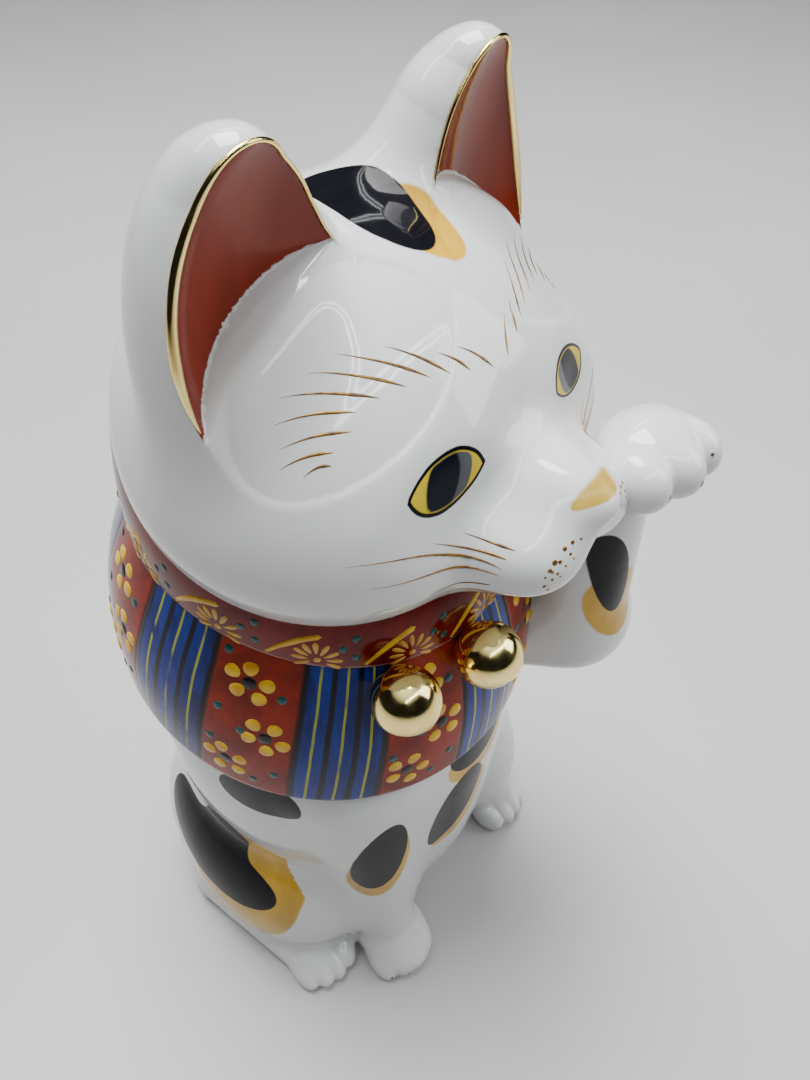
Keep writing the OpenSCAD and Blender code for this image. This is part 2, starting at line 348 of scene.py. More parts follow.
def clip(points, faces, level):
    """The faces where level is below 0, cut cleanly along the line where it is 0."""
    below = level < 0
    points = list(points)
    made, kept = {}, []
    inside = below[faces].all(1)
    kept.extend(faces[inside].tolist())
    for face in faces[below[faces].any(1) & ~inside].tolist():
        loop = []
        for a, b in zip(face, face[1:] + face[:1]):
            if below[a]:
                loop.append(a)
            if below[a] != below[b]:
                key = (min(a, b), max(a, b))
                if key not in made:
                    t = level[key[0]] / (level[key[0]] - level[key[1]])
                    made[key] = len(points)
                    points.append(points[key[0]] + (points[key[1]] - points[key[0]]) * t)
                loop.append(made[key])
        kept.append(loop)
    return np.array(points), kept


def put(name, points, faces):
    """A mesh object from points in millimetres, and the points that its faces use."""
    mesh = bpy.data.meshes.new(name)
    sizes = np.array([len(face) for face in faces])
    loops = np.concatenate([np.asarray(face, int) for face in faces])
    used = np.unique(loops)
    renumber = np.zeros(len(points), int)
    renumber[used] = np.arange(len(used))
    mesh.vertices.add(len(used))
    mesh.vertices.foreach_set("co", (points[used] * MM).astype(np.float32).ravel())
    mesh.loops.add(len(loops))
    mesh.loops.foreach_set("vertex_index", renumber[loops].astype(np.int32))
    mesh.polygons.add(len(sizes))
    starts = np.concatenate([[0], np.cumsum(sizes)[:-1]])
    mesh.polygons.foreach_set("loop_start", starts.astype(np.int32))
    mesh.update(calc_edges=True)
    mesh.validate()
    mesh.polygons.foreach_set("use_smooth", np.ones(len(mesh.polygons), bool))
    piece = bpy.data.objects.new(name, mesh)
    bpy.context.scene.collection.objects.link(piece)
    return piece, points[used]


def shade_by(piece, field, points):
    """Takes each skin point's normal from the field, so that pieces cut from one skin meet with no seam."""
    piece.data.normals_split_custom_set_from_vertices(normals_of(field, points).tolist())


def note(piece, name, values):
    """Keeps one number per point on a mesh, for its material to read."""
    attribute = piece.data.attributes.new(name, "FLOAT", "POINT")
    attribute.data.foreach_set("value", np.asarray(values, np.float32))


# ---------------------------------------------------------------- node materials
class Sum:
    """A socket in a node graph that can be used in sums."""

    def __init__(self, graph, socket):
        self.graph, self.socket = graph, socket

    def __add__(self, other):
        return self.graph.math("ADD", self, other)

    def __radd__(self, other):
        return self.graph.math("ADD", self, other)

    def __sub__(self, other):
        return self.graph.math("SUBTRACT", self, other)

    def __rsub__(self, other):
        return self.graph.math("SUBTRACT", other, self)

    def __mul__(self, other):
        return self.graph.math("MULTIPLY", self, other)

    def __rmul__(self, other):
        return self.graph.math("MULTIPLY", self, other)

    def __truediv__(self, other):
        return self.graph.math("DIVIDE", self, other)


class Graph:
    """One material's node tree, with short ways to add to it."""

    def __init__(self, name):
        self.material = bpy.data.materials.new(name)
        self.material.use_nodes = True
        self.tree = self.material.node_tree
        self.shader = self.tree.nodes["Principled BSDF"]
        where = self.tree.nodes.new("ShaderNodeTexCoord")
        self.place = where.outputs["Object"]
        split = self.tree.nodes.new("ShaderNodeSeparateXYZ")
        self.tree.links.new(self.place, split.inputs[0])
        self.x, self.y, self.z = [self.math("MULTIPLY", Sum(self, s), 1 / MM) for s in split.outputs]

    def feed(self, socket, value):
        if isinstance(value, Sum):
            self.tree.links.new(value.socket, socket)
        else:
            socket.default_value = value

    def math(self, operation, *values):
        node = self.tree.nodes.new("ShaderNodeMath")
        node.operation = operation
        for socket, value in zip(node.inputs, values):
            self.feed(socket, value)
        return Sum(self, node.outputs[0])

    def attribute(self, name):
        node = self.tree.nodes.new("ShaderNodeAttribute")
        node.attribute_name = name
        return Sum(self, node.outputs["Fac"])

    def noise(self, scale, detail=2.0, rough=0.5, stretch=(1, 1, 1)):
        """Noise from 0 to 1; scale is in lumps per metre."""
        mapping = self.tree.nodes.new("ShaderNodeMapping")
        self.tree.links.new(self.place, mapping.inputs["Vector"])
        mapping.inputs["Scale"].default_value = stretch
        node = self.tree.nodes.new("ShaderNodeTexNoise")
        self.tree.links.new(mapping.outputs[0], node.inputs["Vector"])
        node.inputs["Scale"].default_value = scale
        node.inputs["Detail"].default_value = detail
        node.inputs["Roughness"].default_value = rough
        return Sum(self, node.outputs["Fac"])

    def ramp(self, value, start, end, low=0.0, high=1.0):
        """Goes smoothly from low, where the value is start, to high, where it is end."""
        node = self.tree.nodes.new("ShaderNodeMapRange")
        node.interpolation_type = "SMOOTHSTEP"
        names = ("Value", "From Min", "From Max", "To Min", "To Max")
        for name, number in zip(names, (value, start, end, low, high)):
            self.feed(node.inputs[name], number)
        return Sum(self, node.outputs["Result"])

    def mix(self, share, a, b):
        node = self.tree.nodes.new("ShaderNodeMix")
        node.data_type = "RGBA"
        self.feed(node.inputs[0], share)
        for socket, value in ((node.inputs[6], a), (node.inputs[7], b)):
            self.feed(socket, value if isinstance(value, Sum) else (*value, 1))
        return Sum(self, node.outputs[2])

    def bump(self, height, depth, strength=1.0, under=None):
        """Bump from a height that is 0 to 1; depth is in millimetres."""
        node = self.tree.nodes.new("ShaderNodeBump")
        node.inputs["Strength"].default_value = strength
        node.inputs["Distance"].default_value = depth * MM
        self.feed(node.inputs["Height"], height)
        if under is not None:
            self.tree.links.new(under.socket, node.inputs["Normal"])
        return Sum(self, node.outputs[0])

    def set(self, **values):
        """Sets or links the shader's sockets by name, and gives the finished material."""
        for name, value in values.items():
            socket = self.shader.inputs[name.replace("_", " ").title().replace("Ior", "IOR")]
            if isinstance(value, tuple):
                value = (*value, 1) if len(value) == 3 and socket.type == "RGBA" else value
            self.feed(socket, value)
        return self.material


WHITE = (0.62, 0.63, 0.62)
SHADED_WHITE = (0.585, 0.60, 0.605)
INK = (0.006, 0.006, 0.009)
OCHRE = (0.62, 0.36, 0.03)
YELLOW = (0.62, 0.48, 0.03)
EAR_RED = (0.23, 0.028, 0.012)
GREY = (0.10, 0.105, 0.12)
PUPIL = (0.006, 0.008, 0.014)
NOSE = (0.60, 0.40, 0.07)


def glaze(name, layers):
    """Clear glaze over white clay. Each layer of colour fills the places where a distance, kept on the
    mesh in millimetres, is below a limit: (attribute, limit, softness, colour, roughness)."""
    g = Graph(name)
    tone = g.noise(14, 3)
    colour = g.mix(g.ramp(tone, 0.3, 0.75), WHITE, SHADED_WHITE)
    rough = g.ramp(g.noise(55, 3), 0.3, 0.7, 0.05, 0.10)
    hand = g.noise(190, 2) - 0.5                # the brush's unsteady edge
    gloss = 0.5
    for attribute, limit, soft, paint, dull in layers:
        edge = g.attribute(attribute) + hand * 0.4
        mask = g.ramp(edge, limit + soft, limit - soft)
        wash = g.ramp(g.noise(75, 3, stretch=(1, 1, 0.35)), 0.25, 0.8)
        deep = tuple(c * 0.62 for c in paint)
        colour = g.mix(mask, colour, g.mix(wash, paint, deep))
        rough = rough * (1 - mask) + mask * dull
        gloss = mask * -(0.4 if paint in (INK, GREY) else 0.25) + gloss
    normal = g.bump(g.noise(260, 1), 0.05, 0.35, g.bump(g.noise(45, 2), 0.35, 0.3))
    return g.set(base_color=colour, roughness=rough, normal=normal, ior=1.5,
                 specular_ior_level=g.math("MAXIMUM", gloss, 0.08), coat_weight=0.05, coat_roughness=0.03)


def enamel(name, colour, deep):
    g = Graph(name)
    paint = g.mix(g.ramp(g.noise(160, 3), 0.3, 0.72), colour, deep)
    return g.set(base_color=paint, roughness=0.12, normal=g.bump(g.noise(500, 2), 0.06, 0.4),
                 specular_ior_level=0.25, coat_weight=0.05, coat_roughness=0.05)


def turn_round_bib(g):
    """Degrees round the ring from the chest, as a node sum."""
    height = g.z - float(HEM_FRONT)
    along = g.x - height * float(LEAN[0]) - float(AXIS[0])
    back = g.y - height * float(LEAN[1]) - float(AXIS[1])
    return g.math("ARCTAN2", along, -1.0 * back) * (180 / pi)


def ring_enamel(g, colour, normal):
    """The finish that the bib and the collar share."""
    rough = g.ramp(g.noise(60, 3), 0.3, 0.7, 0.07, 0.16)
    return g.set(base_color=colour, roughness=rough, normal=normal,
                 specular_ior_level=0.16, coat_weight=0.04, coat_roughness=0.04)


def bib_paint():
    """Red and blue panels by turns. A blue panel has three bands with a lime line in each,
    parted by black lines."""
    g = Graph("bib_panels")
    turn, rise = turn_round_bib(g), g.attribute("rise")
    wobble = (g.noise(40, 2) - 0.5) * 0.05
    steps = (turn - PANEL_START - (rise - 0.5) * PANEL_LEAN + 720.0) / (360 / PANELS) + wobble
    share = g.math("FRACT", steps)
    red_here = g.math("GREATER_THAN", g.math("MODULO", steps, 2.0), 1.0)
    streak = g.noise(120, 4, 0.6, stretch=(1, 1, 0.12))
    blue = g.mix(g.ramp(streak, 0.32, 0.68), (0.008, 0.030, 0.23), (0.003, 0.008, 0.085))
    red = g.mix(g.ramp(g.noise(70, 4, 0.6), 0.3, 0.7), (0.27, 0.018, 0.002), (0.13, 0.006, 0.001))

    def line(at, half):
        return g.ramp(g.math("ABSOLUTE", share - at), half * 1.25, half * 0.75)
    fine = g.ramp(g.noise(200, 2, stretch=(1, 1, 0.2)), 0.28, 0.5)
    for at in (0.19, 0.5, 0.81):
        blue = g.mix(line(at, 0.015) * fine, blue, (0.30, 0.32, 0.03))
    for at, half in ((0.0, 0.06), (0.345, 0.032), (0.655, 0.032), (1.0, 0.06)):
        blue = g.mix(line(at, half), blue, (0.006, 0.006, 0.010))
    edge = g.math("MINIMUM", share, 1.0 - share)
    red = g.mix(g.ramp(edge, 0.035, 0.008), red, (0.06, 0.004, 0.002))
    colour = g.mix(red_here, blue, red)
    worn = g.ramp(rise + (g.noise(90, 2) - 0.5) * 0.012, 0.982, 0.995)
    colour = g.mix(worn * 0.6, colour, (0.50, 0.30, 0.26))
    relief = g.ramp(edge, 0.0, 0.04)
    return ring_enamel(g, colour, g.bump(relief, 0.15, 0.5, g.bump(g.noise(240, 2), 0.08, 0.4)))


def collar_paint():
    g = Graph("collar_red")
    rise = g.attribute("rise")
    red = g.mix(g.ramp(g.noise(60, 4, 0.6), 0.3, 0.72), (0.17, 0.007, 0.003), (0.075, 0.003, 0.002))
    worn = g.ramp(g.math("ABSOLUTE", rise + (g.noise(110, 2) - 0.5) * 0.05), 0.035, 0.0)
    colour = g.mix(worn * 0.7, red, (0.52, 0.30, 0.25))
    return ring_enamel(g, colour, g.bump(g.noise(240, 2), 0.08, 0.4))


def gilding():
    """Polished gold. Inside a bell's slots, where the distance kept on the mesh is below 0, painted shade
    makes it dark.
    """
    g = Graph("burnished_gold")
    worn = g.noise(120, 4)
    colour = g.mix(g.ramp(worn, 0.35, 0.7), (1.0, 0.84, 0.34), (0.92, 0.68, 0.23))
    rough = g.ramp(g.noise(300, 3), 0.3, 0.75, 0.09, 0.2)
    # painted shade: the slots are shallow, so the darkness of a deep opening is painted in, near-black and
    # not metallic
    painted_slot_shade = g.ramp(g.attribute("slot"), -0.15, -0.45)
    colour = g.mix(painted_slot_shade, colour, (0.02, 0.012, 0.006))
    return g.set(base_color=colour, metallic=1.0 - painted_slot_shade, roughness=rough,
                 normal=g.bump(g.noise(90, 3), 0.25, 0.35))


def gilt_line():
    """Thin liquid gold that has fired brown at its edges."""
    g = Graph("gilt_line")
    worn = g.noise(420, 3)
    colour = g.mix(g.ramp(worn, 0.4, 0.62), (0.30, 0.17, 0.045), (0.10, 0.05, 0.02))
    metal = g.ramp(worn, 0.62, 0.4, 0.2, 0.9)
    return g.set(base_color=colour, metallic=metal, roughness=0.3)


def biscuit():
    g = Graph("bare_clay")
    colour = g.mix(g.ramp(g.noise(60, 4), 0.3, 0.7), (0.66, 0.62, 0.55), (0.52, 0.47, 0.40))
    return g.set(base_color=colour, roughness=0.85, normal=g.bump(g.noise(900, 3), 0.15, 0.6))


# ---------------------------------------------------------------- painted shapes, as distances in millimetres
def only(here):
    """Keeps a painted shape to one part of the skin, by adding to its distance everywhere else."""
    return np.where(here, 0, FAR)


def oval(u, v, centre, radii, tilt=0.0):
    c, s = cos(radians(tilt)), sin(radians(tilt))
    du, dv = u - centre[0], v - centre[1]
    q = np.stack([du * c + dv * s, dv * c - du * s, np.zeros_like(du)], 1)
    return egg(q, (0, 0, 0), (radii[0], radii[1], 1))


def eye_plane(q):
    """Across and up an eye, sheared so that the upper lid peaks near the nose, and how far off the face."""
    w = q[:, 2] - 12.4
    return np.abs(q[:, 0]) - 28 + 0.42 * w, w, only(q[:, 1] < -20)


def eye_shape(q):
    """Two arcs that meet in a point at each end."""
    u, w, off = eye_plane(q)
    lid_r, lid_h = 12.8, 6.3
    return np.maximum(np.hypot(u, w + lid_r - lid_h), np.hypot(u, w - lid_r + lid_h)) - lid_r + off


def pupil_shape(q, centre, width):
    u, w, off = eye_plane(q)
    return oval(u, w, (centre, 0), (width, 7.5)) + off


def paint_head(piece, points):
    q = in_head(points)
    x, y, z = q.T
    top = only(z > 20)
    note(piece, "patch", oval(x, y, (2.7, -7), (10, 20)) + top)
    note(piece, "halo", oval(x, y, (7, -19), (9.5, 12.8), 15) + top)
    note(piece, "eye", eye_shape(q))
    inside = eye_shape(q) + 0.7
    note(piece, "gaze", np.maximum(pupil_shape(q, -0.6, 6.6), inside))
    note(piece, "pupil", np.maximum(pupil_shape(q, 1.2, 4.9), inside))
    note(piece, "nose", oval(x, z + 0.03 * x * x, (0, 5.4), (9.3, 1.7)) + only(y < -70))
    note(piece, "cup", np.maximum(ear_scoop(mirrored(q)) - 0.5, LEDGE + 0.5 - skull(q)))


def paint_body(piece, points):
    x, y, z = points.T
    right, left, front = only(x < -30), only(x > 30), only(y < -45)
    patches = [join(oval(y, z, (-14, 65), (36, 15), 8), oval(y, z, (-20, 84), (12, 15), 20), 8) + right,
               oval(x, z, (-33, 108), (9, 25), -10) + front,
               oval(x, z, (3, 104), (13, 22), -25) + front,
               oval(x, z, (16, 140), (17, 14)) + front,
               oval(y, z, (-45, 138), (15, 10)) + right,
               oval(y, z, (-4, 74), (20, 30), -20) + left]
    halos = [oval(y, z, (-31.4, 61.2), (25.8, 33.9), -14.7) + only(x < -55.5),
             oval(x, z, (-33, 101), (10, 26), -10) + front,
             oval(x, z, (6, 98), (14, 22), -25) + front,
             oval(x, z, (16, 133), (18, 14)) + front,
             oval(y, z, (-8, 67), (21, 31), -20) + left]
    note(piece, "patch", np.min(patches, 0))
    note(piece, "halo", np.min(halos, 0))


def paint_arm(piece, points):
    x, y, z = points.T
    front = only(y < -75)
    note(piece, "patch", oval(x, z, (58, 206), (6, 21.5), 15) + front)
    note(piece, "halo", oval(x, z, (63, 190), (10.5, 19), 15) + front)


# ---------------------------------------------------------------- pieces cut from the skins
def skin_pieces(field, points, quads, shares, paint, material):
    """Cuts one skin into named pieces: each point belongs to the piece whose own form is nearest."""
    levels = {name: form(points) for name, form in shares.items()}
    for name, own in levels.items():
        others = [level for other, level in levels.items() if other != name] or [own + FAR]
        kept_points, kept_faces = clip(points, quads, own - np.min(others, 0))
        piece, used = put(name + "_glazed", kept_points, kept_faces)
        paint(piece, used)
        shade_by(piece, field, used)
        piece.data.materials.append(material)
        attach(piece, "root")
        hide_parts(name)


def by_side(form, at):
    """The left and right copies of a mirrored form. at gives the frame in which the form is mirrored."""
    def one(hand):
        return lambda p: form(mirrored(at(p))) + only(hand * at(p)[:, 0] > 0)
    return one(1), one(-1)


STEP = 1.1               # the skins' grid
BODY_LAYERS = [("halo", 0, 0.5, OCHRE, 0.12), ("patch", 0, 0.25, INK, 0.08)]
HEAD_LAYERS = BODY_LAYERS + [
    ("eye", 0.45, 0.15, INK, 0.08), ("eye", -0.45, 0.15, YELLOW, 0.1), ("gaze", 0, 0.2, GREY, 0.07),
    ("pupil", 0, 0.5, PUPIL, 0.05), ("nose", 0, 0.3, NOSE, 0.2), ("cup", 0, 0.15, EAR_RED, 0.09)]


def head_pieces():
    points, quads = skin(head, (-75, -115, 205), (92, 60, 362), STEP)
    left, right = by_side(ear, in_head)
    shares = {"head_shell": lambda p: skull(in_head(p)), "left_ear": left, "right_ear": right}
    skin_pieces(head, points, quads, shares, paint_head, glaze("glazed_head", HEAD_LAYERS))


def body_pieces(material):
    points, quads = skin(body, (-95, -125, -6), (100, 95, 256), STEP)
    left, right = by_side(hind_foot, lambda p: p)
    shares = {"body_shell": torso, "standing_foreleg": foreleg, "tail": tail,
              "left_hind_paw": left, "right_hind_paw": right}
    skin_pieces(body, points, quads, shares, paint_body, material)


def arm_piece(material):
    points, quads = skin(arm, (15, -130, 125), (100, -15, 285), STEP)
    skin_pieces(arm, points, quads, {"raised_foreleg": arm}, paint_arm, material)


# ---------------------------------------------------------------- rings: the bib and collar
def ring_mesh(name, outline, count=360):
    """A closed ring. outline(a) gives the loop of (radius, height, share of the rise) at each turn a."""
    turns = np.arange(count) * 2 * pi / count
    loop = outline(turns)
    rows = loop.shape[1]
    ways = np.stack([np.sin(turns), -np.cos(turns)], -1)[:, None]
    flat = axis_at(loop[..., 1]) + ways * loop[..., :1]
    points = np.concatenate([flat, loop[..., 1:2]], -1).reshape(-1, 3)
    i, j = np.meshgrid(np.arange(count), np.arange(rows), indexing="ij")
    next_i, next_j = (i + 1) % count, (j + 1) % rows
    faces = np.stack([i * rows + j, next_i * rows + j, next_i * rows + next_j, i * rows + next_j], -1)
    piece, _ = put(name, points, faces.reshape(-1, 4))
    note(piece, "rise", loop[..., 2].ravel())
    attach(piece, "root")
    return piece


def bib_outline(turns):
    """Round the bib's cross-section: a rolled hem, the outside, and back down inside."""
    a = turns[:, None]
    t = np.concatenate([[0.0, 0.004, 0.012, 0.025], np.linspace(0.045, 0.95, 40), [0.97, 0.985, 1.0]])
    roll = np.sqrt(np.clip(1 - (1 - np.minimum(t / 0.03, 1)) ** 2, 0, 1))
    low, high = hem_z(a), ridge_z(a)
    back = np.array([1.0, 0.5, 0.0])
    radius = np.concatenate([bib_r(a, t) - 2.2 * (1 - roll), bib_r(a, back) - 5.0], 1)
    height = np.concatenate([low + (high - low) * t, low + (high - low) * back], 1)
    return np.stack([radius, height, np.broadcast_to(np.concatenate([t, back]), radius.shape)], -1)


def collar_outline(turns):
    """Round the collar's cross-section. It starts inside the bib and ends inside the head."""
    a = turns[:, None]
    t = np.concatenate([[-0.08, -0.03], np.linspace(0, 1, 34)])
    outer = collar_r(a, np.clip(t, 0, 1)) - 40 * np.clip(-t, 0, 1)
    inner = collar_r(a, np.array([1.0, 0.0])) - [2.0, 9.0]
    radius = np.concatenate([outer, inner], 1)
    t = np.concatenate([t, [1.03, 0.0]])
    return np.stack([radius, ridge_z(a) + collar_tall(a) * t, np.broadcast_to(t, radius.shape)], -1)


# ---------------------------------------------------------------- raised enamel and gold lines
def pipe_faces(count, sides):
    """The faces of a closed pipe: count loops of points, one after another, and a cap at each end."""
    faces = []
    for start in range(0, (count - 1) * sides, sides):
        for j in range(sides):
            here, beside = start + j, start + (j + 1) % sides
            faces.append([here, beside, beside + sides, here + sides])
    return faces + [list(range(sides - 1, -1, -1)), [(count - 1) * sides + j for j in range(sides)]]


class Relief:
    """Thin raised shapes laid on a skin, gathered into one mesh."""

    def __init__(self, field):
        self.field, self.points, self.lifts, self.faces = field, [], [], []

    def add(self, points, lifts, faces):
        """Points near the skin, the height above it that each one goes to, and faces between them."""
        start = sum(len(p) for p in self.points)
        self.points.append(points)
        self.lifts.append(lifts)
        self.faces.extend([[start + i for i in f] for f in faces])

    def dome(self, centre, along, length, width, height, widening=0.0):
        """A rounded spot or petal. along is the direction of its length, towards its wider end."""
        centre = settle(self.field, np.atleast_2d(np.array(centre, float)), steps=4)
        up = normals_of(self.field, centre)[0]
        u = along - up * np.dot(along, up)
        u = u / np.linalg.norm(u)
        v = np.cross(up, u)
        rounds, spokes = (0.3, 0.62, 0.86, 1.0), 12
        turn = np.arange(spokes) * 2 * pi / spokes
        rows, lifts = [centre], [np.array([height])]
        for r in rounds:
            du = np.cos(turn) * r * length / 2
            dv = np.sin(turn) * r * width / 2 * (1 + widening * r * np.cos(turn))
            rows.append(centre + du[:, None] * u + dv[:, None] * v)
            lifts.append(np.full(spokes, height * (1 - r ** 3) - 0.06 * (r == 1.0)))
        rows.append(centre)
        lifts.append(np.array([-0.5]))
        faces = [[0, 1 + k, 1 + (k + 1) % spokes] for k in range(spokes)]
        for i in range(len(rounds) - 1):
            a, b = 1 + i * spokes, 1 + (i + 1) * spokes
            faces += [[a + k, b + k, b + (k + 1) % spokes, a + (k + 1) % spokes] for k in range(spokes)]
        last = 1 + (len(rounds) - 1) * spokes
        faces += [[last + spokes, last + (k + 1) % spokes, last + k] for k in range(spokes)]
        self.add(np.concatenate(rows), np.concatenate(lifts), faces)

    def stroke(self, knots, width, height, start=0.1, peak=0.75, end=0.35):
        """A brush line through a few points. Its width goes from start to full at peak and then to end."""
        knots = np.array(knots, float)
        if len(knots) == 2:
            knots = np.array([knots[0], knots.mean(0), knots[1]])
        t = np.linspace(0, 1, 18)[:, None]
        line = knots[0] * (1 - t) * (1 - 2 * t) + knots[1] * 4 * t * (1 - t) + knots[2] * t * (2 * t - 1)
        line = settle(self.field, line, steps=4)
        up = normals_of(self.field, line)
        ahead = np.gradient(line, axis=0)
        side = np.cross(up, ahead)
        side /= np.linalg.norm(side, axis=1, keepdims=True)
        share = np.interp(t[:, 0], [0, peak, 0.96, 1], [start, 1, end, 0.05])
        across, lifted = np.array([-1, -0.55, 0, 0.55, 1, 0]), np.array([-0.05, 0.8, 1, 0.8, -0.05, -3])
        rows = line[:, None] + side[:, None] * (across[:, None] * share[:, None, None] * width / 2)
        lifts = np.where(lifted > 0, lifted * height * np.minimum(share * 1.5, 1)[:, None], lifted * 0.1)
        self.add(rows.reshape(-1, 3), lifts.ravel(), pipe_faces(len(line), len(across)))

    def build(self, name, material, slot):
        points = settle(self.field, np.concatenate(self.points), np.concatenate(self.lifts))
        piece, _ = put(name, points, self.faces)
        piece.data.materials.append(material)
        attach(piece, "root")
        return piece


# Brush strokes on the cat's right side, in the head's own frame, each from its thin end to its thick end.
# The left side has the same ones mirrored.
BROWS = [((-10, -44, 35), (-3, -50, 28)), ((-15, -42, 35), (-10, -48, 30)), ((-25, -34, 39), (-15, -46, 31)),
         ((-34, -28, 39), (-20, -44, 32)), ((-40, -25, 36), (-26, -42, 32)), ((-47, -23, 33), (-32, -39, 31)),
         ((-51, -25, 29), (-38, -37, 30)), ((-53, -28, 25), (-41, -38, 27)), ((-55, -29, 21), (-46, -37, 24)),
         ((-53, -34, 20), (-48, -38, 22))]
WHISKERS = [((-28, -60, -1), (-23, -72, -4)), ((-36, -57, 0), (-31, -66, -2), (-25, -71, -6)),
            ((-56, -47, 2), (-40, -57, -1), (-27, -71, -8)),
            ((-53, -52, -5), (-39, -59, -7), (-27, -71, -10)),
            ((-37, -60, -17), (-28, -69, -14)), ((-34, -60, -22), (-25, -71, -18)),
            ((-30, -64, -24), (-24, -70, -21))]
# Across, up and size
FRECKLES = [(-21, -4, 1.7), (-23, -6, 1.3), (-25, -8, 0.8), (-17, -2, 1.4), (-19, -5, 1.3), (-22, -7, 0.9),
            (-22, -10, 0.9), (-14, -2, 1.3), (-11, -3, 0.9), (-15, -5, 1.0), (-14, -7, 0.7), (-17, -7.5, 0.8),
            (-20, -8.5, 1.0), (-19, -10, 0.8), (-25, -12.5, 1.2), (-23, -15, 1.0)]


def face_lines(material):
    relief = Relief(head)
    for hand in (1, -1):
        flip = np.array([hand, 1, 1])
        for knots in BROWS:
            start, end = np.array(knots[0]) * flip, np.array(knots[1]) * flip
            arch = (start + end) / 2 + [0, 0, 1.2]
            relief.stroke(from_head([start, arch, end]), 0.9, 0.12)
        for knots in WHISKERS:
            relief.stroke(from_head(np.array(knots) * flip), 0.85, 0.12)
        for x, z, size in FRECKLES:
            relief.dome(from_head((x * hand, -84, z))[0], UPWARD, size, size, 0.12)
    return relief.build("face_strokes", material, "gilding")


def ear_edge(turn):
    """Points on the edge between the left ear's hollow and its outside, in the head's frame. They start on an
    oval and move until they are on both surfaces."""
    q = np.stack([40 + 28 * np.cos(turn), -14 + 0 * turn, 56.5 + 27 * np.sin(turn)], 1)
    for _ in range(14):
        hollow, outside = ear_scoop(mirrored(q)), uncut_head(q)
        away, out = slope_of(lambda p: ear_scoop(mirrored(p)), q), slope_of(uncut_head, q)
        aa, oo, ao = (away * away).sum(1), (out * out).sum(1), (away * out).sum(1)
        det = np.maximum(aa * oo - ao * ao, 0.05)
        step = (((oo * hollow - ao * outside) / det)[:, None] * away
                + ((aa * outside - ao * hollow) / det)[:, None] * out)
        q = q - np.clip(step, -3, 3)
    return q


def tube(name, line, radii, material, sides=10):
    """A thin round bead along a line of points."""
    ahead = np.gradient(line, axis=0)
    ahead /= np.linalg.norm(ahead, axis=1, keepdims=True)
    side = np.cross(ahead, [0.2, 1.0, 0.1])
    side /= np.linalg.norm(side, axis=1, keepdims=True)
    up = np.cross(side, ahead)
    turn = (np.arange(sides) * 2 * pi / sides)[:, None]
    spokes = np.cos(turn) * side[:, None] + np.sin(turn) * up[:, None]
    rows = line[:, None] + spokes * radii[:, None, None]
    piece, _ = put(name, rows.reshape(-1, 3), pipe_faces(len(line), sides))
    piece.data.materials.append(material)
    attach(piece, "root")


def ear_gilding(material):
    """The bead is thick on the outer edge and thin on the inner one."""
    q = ear_edge(np.radians(np.linspace(-60, 240, 121)))
    q = q[skull(q) > LEDGE - 1.5]
    along = np.linspace(0, 1, len(q))
    radii = np.interp(along, [0, 0.04, 0.15, 0.4, 0.6, 0.95, 1], [0.2, 0.7, 1.25, 1.1, 0.6, 0.4, 0.1])
    for side, hand in (("left", 1), ("right", -1)):
        line = from_head(q * [hand, 1, 1])
        tube(side + "_ear_gilt_edge", line, radii, material)


PANELS = 16                  # blue and red by turns round the bib
PANEL_START = -1.5           # where the first blue panel begins, in degrees from the chest
PANEL_LEAN = 4.0             # how far a panel leans on its way up, in degrees
# Across and up a red panel
FLOWERS = [(0.42, 0.80), (0.69, 0.50), (0.30, 0.22)]
TEAL_DOTS = [(0.14, 0.60), (0.80, 0.76), (0.42, 0.50), (0.84, 0.22), (0.62, 0.12), (0.12, 0.93), (0.10, 0.36)]


def bib_place(panel, across, up):
    width = 360 / PANELS
    a = radians(PANEL_START + (panel + across) * width + PANEL_LEAN * (up - 0.5))
    z = hem_z(a) + (ridge_z(a) - hem_z(a)) * up
    spot = axis_at(np.array(z)) + np.array([sin(a), -cos(a)]) * bib_r(a, up)
    return np.array([*spot, z])


def bib_relief(petal_paint, eye_paint, dot_paint):
    """Five petals round a dark eye for each flower, and dots between the flowers."""
    petals, eyes, dots = Relief(bib_field), Relief(bib_field), Relief(bib_field)
    for panel in range(1, PANELS, 2):
        for number, (across, up) in enumerate(FLOWERS):
            spot = bib_place(panel, across, up)
            around = bib_place(panel, across + 0.1, up) - spot
            around /= np.linalg.norm(around)
            eyes.dome(spot, UPWARD, 4.8, 4.6, 0.35)
            for petal in range(5):
                turn = 2 * pi * petal / 5 + 0.5 * number + 0.3 * panel
                way = cos(turn) * UPWARD + sin(turn) * around
                petals.dome(spot + way * 5.5, way, 5.2, 4.9, 0.5, 0.2)
        for across, up in TEAL_DOTS:
            dots.dome(bib_place(panel, across, up), UPWARD, 3.3, 3.1, 0.3)
    petals.build("bib_flower_petals", petal_paint, "bib_enamel")
    eyes.build("bib_flower_eyes", eye_paint, "bib_enamel")
    dots.build("bib_teal_dots", dot_paint, "bib_enamel")


MOTIFS = 14                  # how often the collar's pattern repeats
MOTIF_START = -29            # where the first stroke begins, in degrees from the chest
MOTIF_TALL = 24              # height of the pattern


def collar_place(turn, up):
    a = radians(turn)
    z = ridge_z(a) + MOTIF_TALL * up
    r = collar_r(a, MOTIF_TALL * up / collar_tall(a))
    spot = axis_at(np.array(z)) + np.array([sin(a), -cos(a)]) * r
    return np.array([*spot, z])


